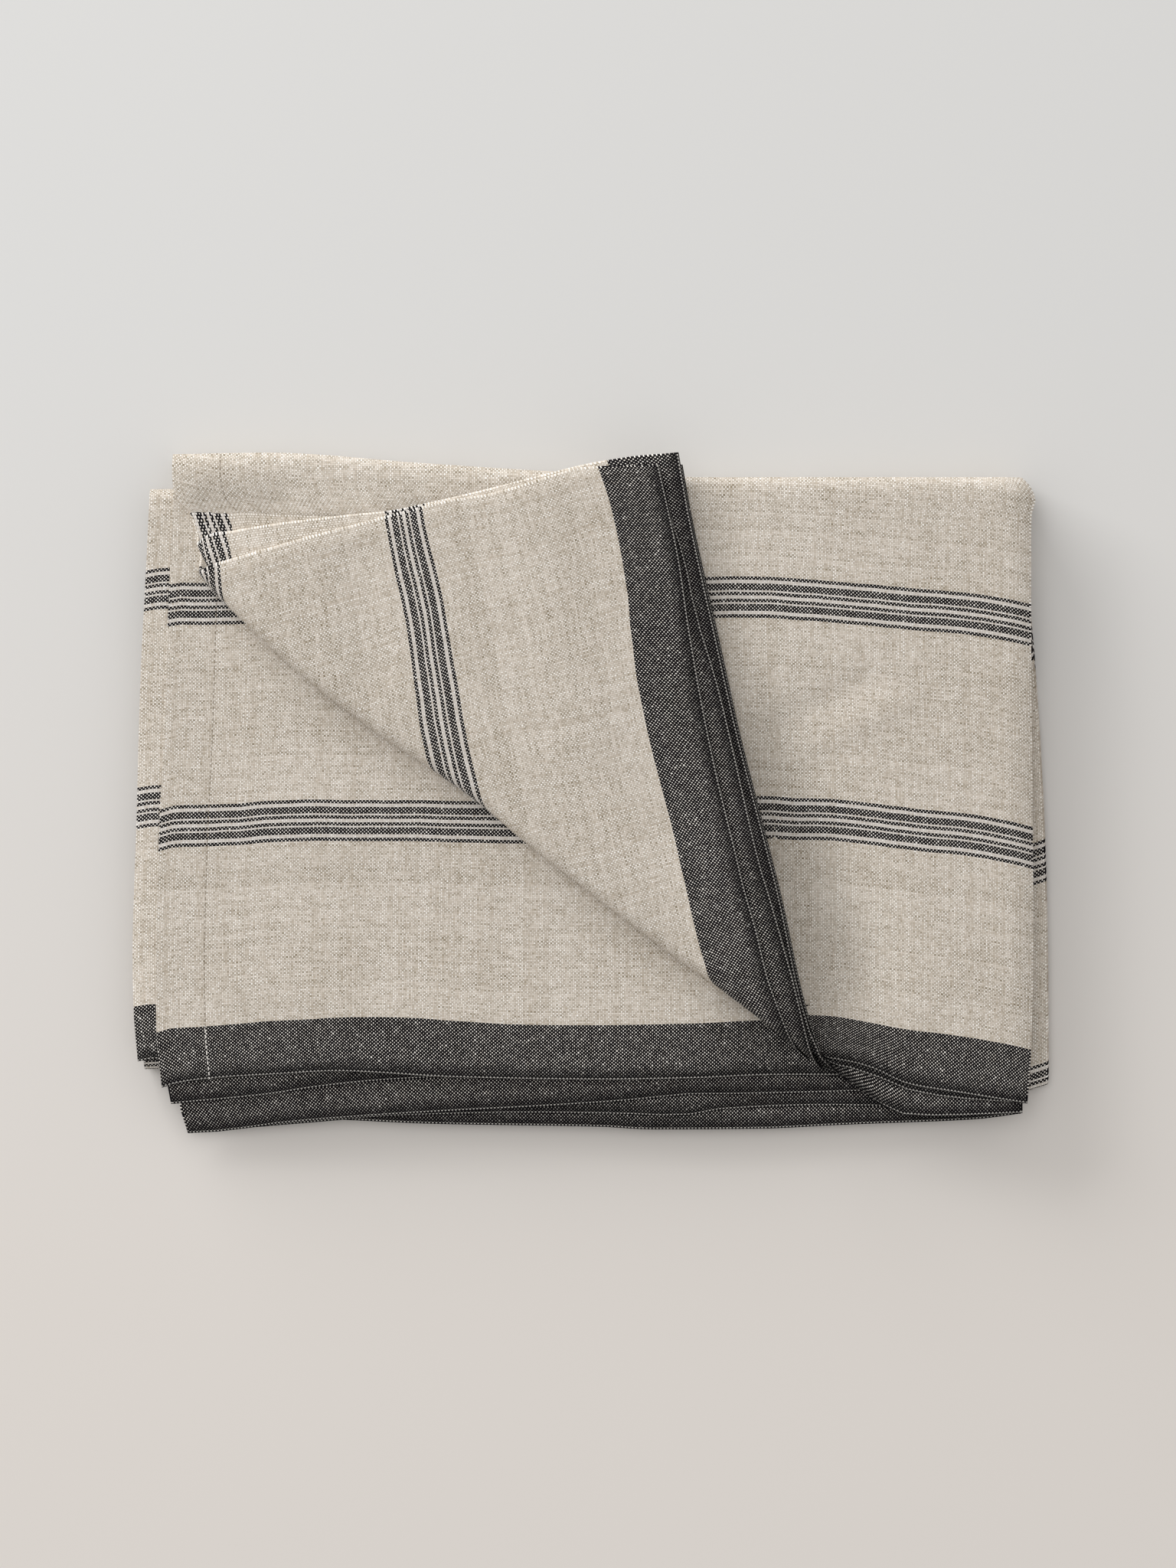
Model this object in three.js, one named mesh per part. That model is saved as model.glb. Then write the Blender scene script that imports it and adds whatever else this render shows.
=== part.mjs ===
import * as THREE from 'three';

// A striped linen tablecloth, folded and laid down, in millimetres with +Z up.
// The cloth is folded back and forth along its length into six leaves. That strip is folded in
// half across the cloth's width with the fold at the front, and in half again with the fold at
// the back, which makes twenty-four layers. Then one corner of the upper five layers is turned
// over on a slanting line. The whole cloth is one sheet and one solid.

// Sheet and layers
const SHEET = 1.0;
const PITCH = 1.3;
const LEAVES = 6;
const FRONT_AXIS = LEAVES * PITCH;
const BACK_AXIS = 2 * LEAVES * PITCH;
const STACK = 4 * LEAVES * PITCH;

// Places along the cloth's length, at the left and the right in turn: the first hem, the five
// bends between the leaves and the other hem. Each row gives x where the cloth meets its upper
// free edge, the back fold, the front fold, the back fold again and its lower free edge, and y
// at both free edges.
const STATIONS = [
  { upperX: -278, backX: -272, frontX: -290, innerX: -273, lowerX: -262, upperY: -182, lowerY: -211 },
  { upperX: 287, backX: 286, frontX: 284, innerX: 282, lowerX: 282, upperY: -202, lowerY: -210 },
  { upperX: -257, backX: -268, frontX: -276, innerX: -268, lowerX: -266, upperY: -183, lowerY: -223 },
  { upperX: 284, backX: 282, frontX: 299, innerX: 281, lowerX: 280, upperY: -209, lowerY: -192 },
  { upperX: -257, backX: -266, frontX: -278, innerX: -270, lowerX: -275, upperY: -175, lowerY: -203 },
  { upperX: 282, backX: 280, frontX: 285, innerX: 279, lowerX: 277, upperY: -186, lowerY: -182 },
  { upperX: -280, backX: -272, frontX: -283, innerX: -287, lowerX: -296, upperY: -192, lowerY: -175 },
];

// How far each leaf's two free edges bow towards +Y in the middle of the leaf
const EDGE_BOWS = [
  { upper: 10, lower: -9 },
  { upper: 4, lower: 5 },
  { upper: 3, lower: 3 },
  { upper: 4, lower: 5 },
  { upper: 2, lower: 2 },
  { upper: 5, lower: 3 },
];

// Columns that all leaves share, with y of the outermost back fold's axis there
const BACK_LINE = [
  { x: -220, y: 207 },
  { x: -110, y: 201 },
  { x: 0, y: 194.5 },
  { x: 110, y: 191.5 },
  { x: 220, y: 191.5 },
];
const BACK_SLIP = 2.4;

// The front fold runs on a straight line, a little further forward at the right
const FRONT_LINE = [
  { x: -275, y: -172.5 },
  { x: 290, y: -190 },
];
const FRONT_SLIP = 1.5;

// The turned-over corner: its fold line, the height of its axis, and how many leaves turn
const FLAP_POINT = { x: -72, y: -2 };
const FLAP_ANGLE = THREE.MathUtils.degToRad(-37.6);
const FLAP_AXIS = STACK + 1.0;
const FLAP_LEAVES = 5;
const FLAP_RADIUS = FLAP_AXIS - STACK + (FLAP_LEAVES - 0.5) * PITCH;

// Fineness of the faceted sheet
const FLAT_ROWS = { upper: 5, under: 3, middle: 3, lower: 4 };
const FOLD_STEPS = 5;
const BEND_STEPS = 3;
const FLAP_STEPS = 4;
const NEAR_CUT = 0.02;

// Where the lowest layer and the middle of the outline lie before the sheet is centred
const LAYER_CLEARANCE = (PITCH - SHEET) / 2;

function lineY(line, x) {
  let right = 1;
  while (right < line.length - 1 && x > line[right].x) {
    right += 1;
  }
  const from = line[right - 1];
  const to = line[right];
  return from.y + (to.y - from.y) * (x - from.x) / (to.x - from.x);
}

// One column for each hem, each shared x in each leaf, and each step around each bend. tilt and
// lift are the sheet's own normal in a column, while the strip still lies flat.
function makeColumns() {
  const columns = [];
  for (let leaf = 0; leaf < LEAVES; leaf += 1) {
    const start = STATIONS[leaf];
    const end = STATIONS[leaf + 1];
    const rise = leaf + 0.5;
    const facing = leaf % 2 === 0 ? -1 : 1;
    columns.push({ station: start, leaf, rise, out: 0, tilt: 0, lift: facing });
    const knots = facing < 0 ? BACK_LINE : [...BACK_LINE].reverse();
    for (const knot of knots) {
      columns.push({ knot: knot.x, start, end, leaf, rise, tilt: 0, lift: facing });
    }
    columns.push({ station: end, leaf, rise, out: 0, tilt: 0, lift: facing });
    if (leaf === LEAVES - 1) {
      break;
    }
    for (let step = 1; step < BEND_STEPS; step += 1) {
      const turn = Math.PI * step / BEND_STEPS;
      columns.push({
        station: end,
        leaf: leaf + 0.5,
        rise: rise + (1 - Math.cos(turn)) / 2,
        out: -facing * Math.sin(turn) * PITCH / 2,
        tilt: Math.sin(turn),
        lift: facing * Math.cos(turn),
      });
    }
  }
  return columns;
}

function columnX(column, place) {
  return column.station ? column.station[`${place}X`] + column.out : column.knot;
}

// y of the free edge, straight between the stations apart from the leaf's bow
function edgeY(column, place) {
  if (column.station) {
    return column.station[`${place}Y`];
  }
  const from = column.start[`${place}X`];
  const share = (column.knot - from) / (column.end[`${place}X`] - from);
  const straight = THREE.MathUtils.lerp(column.start[`${place}Y`], column.end[`${place}Y`], share);
  return straight + 4 * share * (1 - share) * EDGE_BOWS[column.leaf][place];
}

function backY(column, place, nest) {
  return lineY(BACK_LINE, columnX(column, place)) - BACK_SLIP * nest;
}

// The seven stretches of one column, from the upper free edge to the lower one
function columnPoints(column) {
  const height = column.rise * PITCH;
  const upper = new THREE.Vector2(columnX(column, 'upper'), edgeY(column, 'upper'));
  const back = new THREE.Vector2(columnX(column, 'back'), backY(column, 'back', column.rise));
  const front = new THREE.Vector2(
    columnX(column, 'front'),
    lineY(FRONT_LINE, columnX(column, 'front')) + FRONT_SLIP * column.rise,
  );
  const inner = new THREE.Vector2(
    columnX(column, 'inner'),
    backY(column, 'inner', 2 * LEAVES - column.rise),
  );
  const lower = new THREE.Vector2(columnX(column, 'lower'), edgeY(column, 'lower'));
  const points = [];
  const addPoint = (x, y, z, upY, upZ, part) => {
    const normal = new THREE.Vector3(column.tilt, column.lift * upY, column.lift * upZ);
    points.push({ x, y, z, normal, part, leaf: column.leaf });
  };
  // up is 1 where the strip's upper side faces up, and -1 where it faces down
  const flat = (from, to, z, rows, part, up) => {
    for (let row = 0; row <= rows; row += 1) {
      const at = from.clone().lerp(to, row / rows);
      addPoint(at.x, at.y, z, 0, up, part);
    }
  };
  // outward is +1 or -1 along Y, and up is 1 where the strip's upper side faces out of the fold
  const fold = (centre, axis, radius, outward, up) => {
    for (let step = 1; step < FOLD_STEPS; step += 1) {
      const turn = Math.PI * step / FOLD_STEPS;
      const outY = outward * Math.sin(turn);
      const outZ = Math.sign(radius) * Math.cos(turn);
      const reach = Math.abs(radius);
      addPoint(centre.x, centre.y + reach * outY, axis + reach * outZ, up * outY, up * outZ, 'fold');
    }
  };
  flat(upper, back, STACK - height, FLAT_ROWS.upper, 'upper', -1);
  fold(back, BACK_AXIS, BACK_AXIS - height, 1, -1);
  flat(back, front, height, FLAT_ROWS.under, 'under', 1);
  fold(front, FRONT_AXIS, height - FRONT_AXIS, -1, -1);
  flat(front, inner, BACK_AXIS - height, FLAT_ROWS.middle, 'middle', -1);
  fold(inner, BACK_AXIS, -height, 1, 1);
  flat(inner, lower, BACK_AXIS + height, FLAT_ROWS.lower, 'lower', 1);
  return points;
}

// The sheet's middle surface before the corner is turned over
function makeSheet() {
  const columns = makeColumns().map(columnPoints);
  const rows = columns[0].length;
  const points = columns.flat();
  const triangles = [];
  for (let column = 0; column < columns.length - 1; column += 1) {
    for (let row = 0; row < rows - 1; row += 1) {
      const near = column * rows + row;
      const far = near + rows;
      triangles.push([near, far, far + 1], [near, far + 1, near + 1]);
    }
  }
  return { points, triangles };
}

const flapAlong = new THREE.Vector2(Math.cos(FLAP_ANGLE), Math.sin(FLAP_ANGLE));
const flapAcross = new THREE.Vector2(flapAlong.y, -flapAlong.x);

function flapReach(point) {
  return (point.x - FLAP_POINT.x) * flapAcross.x + (point.y - FLAP_POINT.y) * flapAcross.y;
}

function turnsOver(point) {
  return point.part === 'upper' && point.leaf <= FLAP_LEAVES - 1;
}

// Cuts the triangles of the upper leaves along one line of the slanting fold
function cutAlong({ points, triangles }, turn) {
  const offset = points.map((point) => {
    const value = flapReach(point) - FLAP_RADIUS * turn;
    return Math.abs(value) < NEAR_CUT ? 0 : value;
  });
  const halfway = new Map();
  const cutPoint = (first, second) => {
    const key = first < second ? `${first},${second}` : `${second},${first}`;
    if (!halfway.has(key)) {
      const share = offset[first] / (offset[first] - offset[second]);
      const from = points[first];
      const to = points[second];
      points.push({
        x: THREE.MathUtils.lerp(from.x, to.x, share),
        y: THREE.MathUtils.lerp(from.y, to.y, share),
        z: THREE.MathUtils.lerp(from.z, to.z, share),
        normal: from.normal.clone().lerp(to.normal, share),
        part: from.part,
        leaf: Math.min(from.leaf, to.leaf),
      });
      halfway.set(key, points.length - 1);
    }
    return halfway.get(key);
  };
  const pieces = [];
  for (const triangle of triangles) {
    const crossed = triangle.every((index) => turnsOver(points[index]));
    const signs = triangle.map((index) => Math.sign(offset[index]));
    if (!crossed || !(signs.includes(1) && signs.includes(-1))) {
      pieces.push(triangle);
      continue;
    }
    const zero = signs.indexOf(0);
    if (zero >= 0) {
      const [a, b, c] = [0, 1, 2].map((step) => triangle[(zero + step) % 3]);
      const cut = cutPoint(b, c);
      pieces.push([a, b, cut], [a, cut, c]);
      continue;
    }
    const lone = signs.findIndex((sign) => signs.filter((other) => other === sign).length === 1);
    const [a, b, c] = [0, 1, 2].map((step) => triangle[(lone + step) % 3]);
    const nearB = cutPoint(a, b);
    const nearC = cutPoint(a, c);
    pieces.push([a, nearB, nearC], [nearB, b, c], [nearB, c, nearC]);
  }
  return { points, triangles: pieces };
}

// Every leaf turns through the same angle at the same place, so their bends stay side by side
function turnedBy(point, turn, reach) {
  const radius = FLAP_AXIS - point.z;
  const past = Math.max(reach - Math.PI * FLAP_RADIUS, 0);
  const shift = radius * Math.sin(turn) - past - reach;
  return new THREE.Vector3(
    point.x + flapAcross.x * shift,
    point.y + flapAcross.y * shift,
    FLAP_AXIS - radius * Math.cos(turn),
  );
}

// Points between two steps of the slanting fold lie on the flat facet between those steps
function turnOver(point) {
  const reach = flapReach(point);
  if (reach <= 0) {
    return point;
  }
  const steps = Math.min(reach / FLAP_RADIUS / Math.PI, 1) * FLAP_STEPS;
  const last = Math.min(Math.floor(steps), FLAP_STEPS - 1);
  const from = turnedBy(point, Math.PI * last / FLAP_STEPS, reach);
  const to = turnedBy(point, Math.PI * (last + 1) / FLAP_STEPS, reach);
  return from.lerp(to, steps - last);
}

// Gives the middle surface its thickness, turns the corner over, and closes the cloth's edges
function thicken({ points, triangles }) {
  const positions = [];
  for (const side of [1, -1]) {
    for (const point of points) {
      const flat = new THREE.Vector3(point.x, point.y, point.z);
      flat.addScaledVector(point.normal, side * SHEET / 2);
      const skin = turnsOver(point) ? turnOver(flat) : flat;
      positions.push(skin.x, skin.y, skin.z);
    }
  }
  const back = points.length;
  const open = new Map();
  const faces = [];
  for (const [a, b, c] of triangles) {
    faces.push([a, b, c], [back + a, back + c, back + b]);
    for (const [from, to] of [[a, b], [b, c], [c, a]]) {
      if (!open.delete(`${to},${from}`)) {
        open.set(`${from},${to}`, [from, to]);
      }
    }
  }
  for (const [from, to] of open.values()) {
    faces.push([to, from, back + from], [to, back + from, back + to]);
  }
  const geometry = new THREE.BufferGeometry();
  geometry.setAttribute('position', new THREE.Float32BufferAttribute(positions, 3));
  geometry.setIndex(faces.flat());
  return geometry;
}

let sheet = makeSheet();
for (let step = 0; step <= FLAP_STEPS; step += 1) {
  sheet = cutAlong(sheet, Math.PI * step / FLAP_STEPS);
}
const geometry = thicken(sheet);

// The origin is under the middle of the outline, at the lowest layer's underside
geometry.computeBoundingBox();
const centre = geometry.boundingBox.getCenter(new THREE.Vector3());
geometry.translate(-centre.x, -centre.y, -LAYER_CLEARANCE);

const linen = new THREE.MeshStandardMaterial({ color: 0xb9b1a4, roughness: 0.95, metalness: 0 });
const tablecloth = new THREE.Mesh(geometry, linen);
tablecloth.name = 'tablecloth';

const part = new THREE.Group();
part.add(tablecloth);

export default part;
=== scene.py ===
import math

import bpy
import numpy as np
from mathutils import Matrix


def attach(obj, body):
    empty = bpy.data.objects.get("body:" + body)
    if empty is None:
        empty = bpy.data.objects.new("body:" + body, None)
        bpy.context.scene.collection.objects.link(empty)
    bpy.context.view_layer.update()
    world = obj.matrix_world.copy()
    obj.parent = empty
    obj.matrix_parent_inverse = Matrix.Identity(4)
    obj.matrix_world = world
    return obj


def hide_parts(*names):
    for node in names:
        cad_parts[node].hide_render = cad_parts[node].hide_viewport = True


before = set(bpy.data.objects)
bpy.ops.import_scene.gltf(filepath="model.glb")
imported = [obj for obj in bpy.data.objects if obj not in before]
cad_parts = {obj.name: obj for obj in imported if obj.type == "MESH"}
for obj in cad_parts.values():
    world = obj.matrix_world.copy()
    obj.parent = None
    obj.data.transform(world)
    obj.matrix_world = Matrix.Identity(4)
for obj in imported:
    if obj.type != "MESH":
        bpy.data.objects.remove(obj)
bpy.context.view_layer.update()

# All lengths of the cloth are in millimetres until the mesh is made
METRES = 0.001

# The cloth and its layers
WIDTH = 1506.0
LENGTH = 3450.0
LEAVES = 6
LEAF_LENGTH = LENGTH / LEAVES
SHEET = 1.06
PITCH = 1.3
FRONT_AXIS = LEAVES * PITCH
BACK_AXIS = 2 * LEAVES * PITCH
STACK = 4 * LEAVES * PITCH
LAYER_CLEARANCE = (PITCH - SHEET) / 2

# The middle of the folded outline, which is moved to the origin
MIDDLE_X = 2.0
MIDDLE_Y = 1.55

# Fineness of the sheet
LEAF_COLUMNS = (72, 28, 28, 30, 60, 66)
BEND_STEPS = 6
UPPER_ROWS = 50
LOWER_ROWS = 26
INNER_ROWS = 8
BACK_STEPS = 10
FRONT_STEPS = 6
INNER_STEPS = 6
FLAP_STEPS = 8

# A point nearer than this to a line that the sheet is cut along counts as on it
NEAR_CUT = 0.02

# The first guess of how far the flat layers reach, and the rounds in which it is made exact
FIRST_Y = 190.0
FIT_ROUNDS = 6

# The turned-over corner: a point on the slanting fold's axis, its direction and its height
FLAP_POINT = np.array([-35.5, -28.4])
FLAP_ANGLE = math.radians(-37.4)
FLAP_AXIS = STACK + 1.0
FLAP_ALONG = np.array([math.cos(FLAP_ANGLE), math.sin(FLAP_ANGLE)])
FLAP_ACROSS = np.array([FLAP_ALONG[1], -FLAP_ALONG[0]])

# The turned leaves lie in three groups, joined at the left. The outermost carries the lowest two
# of them. set_back is how far each slanting fold lies behind the axis, as (place along it, amount).
# Left of drawn, the fold curves and draws the woven lines with it.
FLAP_GROUPS = [
    {
        "leaves": (0,),
        "radius": 1.65,
        "set_back": [
            (-330, 33), (-306, 32.6), (-298, 28), (-292, 24), (-275, 16.5),
            (-250, 11), (-200, 5), (-100, 3), (0, 3), (250, 2),
        ],
        "drawn": -279.6,
    },
    {
        "leaves": (1, 2),
        "radius": 4.25,
        "set_back": [
            (-330, 29), (-306, 28.6), (-295, 24), (-286, 19.3), (-277, 15.3),
            (-250, 9), (-200, 3.5), (-100, 2.8), (0, 2.8), (250, 1.9),
        ],
        "drawn": -267.4,
    },
    {
        "leaves": (3, 4),
        "radius": 6.85,
        "set_back": [
            (-295, 15), (-284, 12.3), (-266, 7.3), (-237, 3.4), (-200, -0.4), (-168, -2.1),
            (-128, -1.8), (-81, 1.2), (-42, 2.4), (0, 0.4), (81, 0), (121, 0.3), (155, 1.8),
            (184, 1.8), (207, 0.9), (232, -0.2),
        ],
        "drawn": -272.4,
    },
]

# Hems and bends along the length, by turns at the left and the right of the stack. upper and lower
# are (y, x) points of that edge in the upper and lower layers; turned points are (x, y) where it
# lies after the corner is turned over. front is x at the front fold. upper_corner and lower_corner
# are y of the two free corners; the last turned point gives the corner that is turned over.
STATIONS = [
    {
        "upper": [(222, -272.5), (203, -272.3), (194, -270.2), (189, -267), (184, -261)],
        "turned": [
            (-245, 182.6), (-220.5, 182.5), (-165.5, 180.5), (-121, 184),
            (-60, 195), (-10, 207), (60, 214),
        ],
        "lower": [(200, -273), (-211, -262)],
        "front": -293,
        "lower_corner": -211.0,
    },
    {
        "upper": [
            (207, 284), (202, 289), (196, 290.5), (188, 288.5), (180, 286.5),
            (100, 286.5), (0, 287.5), (-100, 288), (-168, 286.5), (-202, 284),
        ],
        "lower": [(200, 282), (-210, 281)],
        "front": 284,
        "upper_corner": -202.0,
        "lower_corner": -210.0,
    },
    {
        "upper": [(210, -268), (190, -262.5), (178, -258), (169, -255)],
        "turned": [
            (-245, 167.75), (-195.5, 175.25), (-157.5, 179.75), (-121, 184.25),
            (-60.5, 198.25), (-10, 211.25), (21.5, 217.25), (57.5, 220.75),
        ],
        "lower": [(200, -268), (-180, -270), (-205, -268), (-223, -263.5)],
        "front": -276,
        "lower_corner": -223.2,
    },
    {
        "upper": [(200, 282), (-209, 281)],
        "lower": [(200, 281), (-192, 279)],
        "front": 300.5,
        "upper_corner": -208.5,
        "lower_corner": -192.0,
    },
    {
        "upper": [(210, -267), (190, -262), (180, -259), (153, -253.5)],
        "turned": [
            (-245, 147.25), (-195.5, 161.75), (-152.5, 173.25), (-93.5, 188.75),
            (-60.5, 194.25), (-10, 209.75), (7, 211.25), (44.5, 212.25),
        ],
        "lower": [(200, -270), (-193, -276), (-203, -273.5)],
        "front": -278,
        "lower_corner": -203.2,
    },
    {
        "upper": [(200, 280), (-186, 282)],
        "lower": [(200, 279), (-182, 277)],
        "front": 285,
        "upper_corner": -186.0,
        "lower_corner": -182.0,
    },
    {
        "upper": [
            (196, -272.5), (149, -274.5), (112, -276), (39, -278.5),
            (-32, -282), (-107, -284), (-154, -283.5), (-192, -280),
        ],
        "lower": [
            (197, -288), (146, -290.5), (79, -294), (-22, -297),
            (-107, -299.5), (-139, -299), (-175, -296),
        ],
        "front": -283,
        "upper_corner": -192.2,
        "lower_corner": -175.2,
    },
]

# Free edges of each leaf between its two corners. turned points are (x, y) as the edge lies on
# the turned-over corner; upper and lower points are (x, y) where the leaf stays flat.
FREE_EDGES = [
    {
        "turned": [(66, 180), (81, 113), (101, 25), (122.5, -58), (140, -137)],
        "upper": [(158, -173.7), (172.5, -176.2), (184.5, -179.7), (208, -190.2), (240, -195.2)],
        "lower": [
            (-170, -214), (-105, -217), (8, -219), (40, -220.7),
            (114, -220.2), (160, -218), (252, -213.7),
        ],
    },
    {
        "turned": [(65, 180), (79.5, 113), (99.5, 25), (121, -58), (138, -137)],
        "upper": [(161, -178), (178, -182), (215, -196), (250, -200)],
        "lower": [
            (-200, -217.5), (-120, -211.5), (-40, -209.7), (30, -210.7),
            (60, -212), (77, -208), (159, -205),
        ],
    },
    {
        "turned": [(64.5, 180), (79, 113), (99, 25), (120.5, -58), (137.5, -137)],
        "upper": [
            (160, -182), (168.5, -190.5), (179, -197.5), (187, -203),
            (195, -207.2), (203, -209.7), (213, -211),
        ],
        "lower": [
            (-238.5, -221.7), (-212.5, -217.7), (-177.5, -214.2), (-98, -208.7),
            (-31.5, -205.2), (38, -200.2), (60, -197.5), (106, -197.2),
        ],
    },
    {
        "turned": [
            (54.5, 173.2), (61, 155.2), (67.5, 123.2), (83.5, 68.2),
            (94, 24.2), (109.5, -43.7), (122, -86.2),
        ],
        "upper": [(170, -184), (215, -203)],
        "lower": [(-200, -192), (-90, -184), (100, -184)],
    },
    {
        "turned": [
            (54.5, 167.7), (64, 109.2), (71, 68.2), (81.5, 15.7),
            (94, -36.7), (108, -89.7), (114.5, -117.2),
        ],
        "upper": [(160, -177), (220, -181)],
        "lower": [
            (-234, -199.7), (-207, -196.7), (-185.5, -193.2), (-140.5, -188.2),
            (-94, -185.7), (100, -182),
        ],
    },
    {
        "turned": [],
        "upper": [
            (-271.5, -189.7), (-246.5, -186.2), (-206, -183.7), (-166.5, -181.7),
            (-87.5, -185.7), (8, -187.2), (71.5, -186.2), (114.5, -184.7), (200, -185),
        ],
        "lower": [(-285, -173.5), (-200, -172), (0, -176)],
    },
]

# The back edge of the stack as (x, y), how far its outermost fold reaches beyond the flat layers,
# and how much each layer inside it lies further forward
BACK_EDGE = [
    (-272, 223.2), (-210, 224.2), (-110, 217.4), (-17, 211.6),
    (62, 208.2), (162, 208.2), (283, 208.2),
]
BACK_REACH = (2 * LEAVES - 0.5) * PITCH + SHEET / 2
BACK_SLIP = 2.4

# The front fold as (x, y), and how much each layer inside it lies further back
FRONT_EDGE = [(-293, -174.5), (-260, -173.5), (230, -189), (284, -197), (302, -190)]
FRONT_SLIP = 1.5

# Where the middle stripe lies at the front fold, from the middle of the cloth
FRONT_FOLD_OFFSET = 4.0

# Over most of their depth the inner layers lie as at their front fold; 1 would be an even change
INNER_EASE = 2.6

# How much of the top leaf's band is rolled out of sight at its free edge, as (x, amount), and how
# far from the edge the woven lines are moved by it
ROLLED_EDGE = [
    (-210, 0), (-100, 7.8), (0, 12.5), (75, 16.6), (110, 17.1), (130, 15.8), (150, 13),
    (158, 11.8), (172, 11.1), (184, 9.2), (195, 5.5), (208, 1.6), (240, 0.5), (270, 1.2), (286, 2.6),
]
ROLLED_RUN = 38.0

# How much further back the woven lines lie than the cloth's flat length says, in the leaves that
# show, as (x, at the band, at the first stripe, at the second stripe)
LINES = [
    {
        "leaf": 0,
        "place": "upper",
        "rows": [
            (60, 0, 0, 0), (95, 0, 2.5, -0.5), (115, 0, 2.0, -1.5), (135, 0, -0.5, -3.5),
            (155, 0, -1.5, -5.5), (175, 0, -1.0, -4.5), (215, 0, -1.0, -3.0), (255, 0, 0, -1.5),
            (284, 0, -0.5, -1.2),
        ],
    },
    {
        "leaf": 3,
        "place": "upper",
        "rows": [(-250, -4.8, -8.2, 0), (-200, 0, 0, 0)],
    },
    {
        "leaf": 4,
        "place": "upper",
        "rows": [
            (-253, -4.8, -8.6, 0), (-233, -3.9, -9.2, 0), (-215, -2.9, -9.1, 0), (-197, -0.9, -7.7, 0),
            (-180, 0.6, -5.6, 0), (-164, 2.9, -4.0, 0), (-137, 2.9, -0.5, 0), (-115, 1.9, 1.0, 0),
            (-90, 1.4, 1.2, 0), (-62, 0, 0, 0), (-35, -1.0, 0, 0), (66, -1.3, 0, 0), (100, 0, 0, 0),
        ],
    },
    {
        "leaf": 5,
        "place": "upper",
        "rows": [
            (-272, -1.5, -1.5, 0), (-262, -3.0, -2.7, -2.5), (-253, -3.7, -4.0, -4.2),
            (-230, -3.5, -5.0, -6.0), (-210, -2.5, -4.0, -6.0), (-185, -3.3, -5.0, -6.0),
            (-160, -2.0, -6.3, -6.0), (-135, -0.5, -5.0, -6.0), (-110, 0.5, -3.0, -5.0),
            (-85, -0.5, -2.5, -4.0), (-50, -2.0, -2.0, -2.0), (100, -1.5, -1.5, -1.5),
        ],
    },
    {
        "leaf": 5,
        "place": "lower",
        "rows": [(-290, -2.3, -4.6, -8.3), (-270, -2.3, -4.6, -8.3)],
    },
]

# How far from the free edge the band's edge and the two stripes lie in those leaves
LINE_RUNS = (38.0, 185.0, 325.0)

# How far the turning corner has pulled each leaf's left end towards the back, the place from which
# that fades to the right, and the runs over which it fades there and begins at the free edge
PULLED = (20.0, 14.0, 14.0, 6.0, 6.0, 0.0)
PULLED_FROM = -272.0
PULLED_RUN = 45.0
PULLED_EASE = 60.0

# Soft ridges (+) and troughs (-) of the whole stack: from, to, width and height. flap is how much
# of it the turned leaves follow.
RELIEF = [
    {"from": (-262, 208), "to": (-205, 206), "width": 14, "height": 1.0, "flap": 1},
    {"from": (-248, 188), "to": (-205, 186), "width": 10, "height": -3.0, "flap": 0},
    {"from": (124, 20), "to": (205, 60), "width": 8, "height": 1.1, "flap": 1},
    {"from": (112, 40), "to": (182, 74), "width": 8, "height": -1.3, "flap": 1},
    {"from": (84, 168), "to": (108, 20), "width": 24, "height": -2.0, "flap": 0},
    {"from": (112, 10), "to": (149, -117), "width": 44, "height": -11.5, "flap": 0},
    {"from": (132, -60), "to": (143, -106), "width": 40, "height": -10.0, "flap": 0},
    {"from": (92, -40), "to": (125, -130), "width": 26, "height": 0.6, "flap": 11},
    {"from": (140, -187), "to": (196, -198), "width": 42, "height": -8.0, "flap": 1},
    {"from": (-152, 150), "to": (-138, 80), "width": 16, "height": -1.3, "flap": 1},
    {"from": (-36, 175), "to": (-8, 40), "width": 26, "height": 1.2, "flap": 1},
    {"from": (30, 40), "to": (70, -60), "width": 18, "height": -0.9, "flap": 1},
    {"from": (-250, 60), "to": (-230, -60), "width": 18, "height": -0.8, "flap": 1},
    {"from": (-200, -60), "to": (60, -110), "width": 26, "height": -1.0, "flap": 1},
    {"from": (-230, -130), "to": (-40, -150), "width": 16, "height": 0.9, "flap": 1},
    {"from": (270, 202), "to": (286, 196), "width": 12, "height": 1.4, "flap": 1},
]

# Over this height above the stack the cloth comes to count as turned leaves
FLAP_BLEND = 5.0

# Past its start each edge hangs down on a curve. start is x for the two sides, and how far from
# the edge it lies for the front and the back.
RIGHT_DROOP = {"start": 272.0, "curve": 0.012}
LEFT_DROOP = {"start": -282.0, "curve": 0.012}
FRONT_DROOP = {"start": -9.0, "curve": 0.005}
BACK_DROOP = {"start": -6.0, "curve": 0.006}

# The cloth is pressed square at the back fold; 2 would be a round fold
BACK_SQUARE = 5

# The right back corner is rounded
CORNER = {"x": 270.0, "y": 190.0, "run": 13.0, "depth": 5.0}

# The turned leaves bulge by the slanting fold and lie further apart beyond it
FLAP_BULGE = {"place": 16.0, "width": 26.0, "height": 4.0}
FLAP_SPREAD = {"run": 90.0, "height": 4.5}

# The weave: pitches in millimetres, and the rest in warp threads
WARP_PITCH = 1.148
WEFT_PITCH = 1.22
BAND_THREADS = 33
FIRST_STRIPE = 136
STRIPE_PERIOD = 127

# Runs of threads across one stripe: how many, and whether they are dark
STRIPE_RUNS = [
    (2, 1), (2, 0), (4, 1), (1, 0), (2, 1), (2, 0), (2, 1), (1, 0), (4, 1), (2, 0), (2, 1),
]

# How far the hem's line of stitches lies from the end
HEM = 32.5

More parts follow.
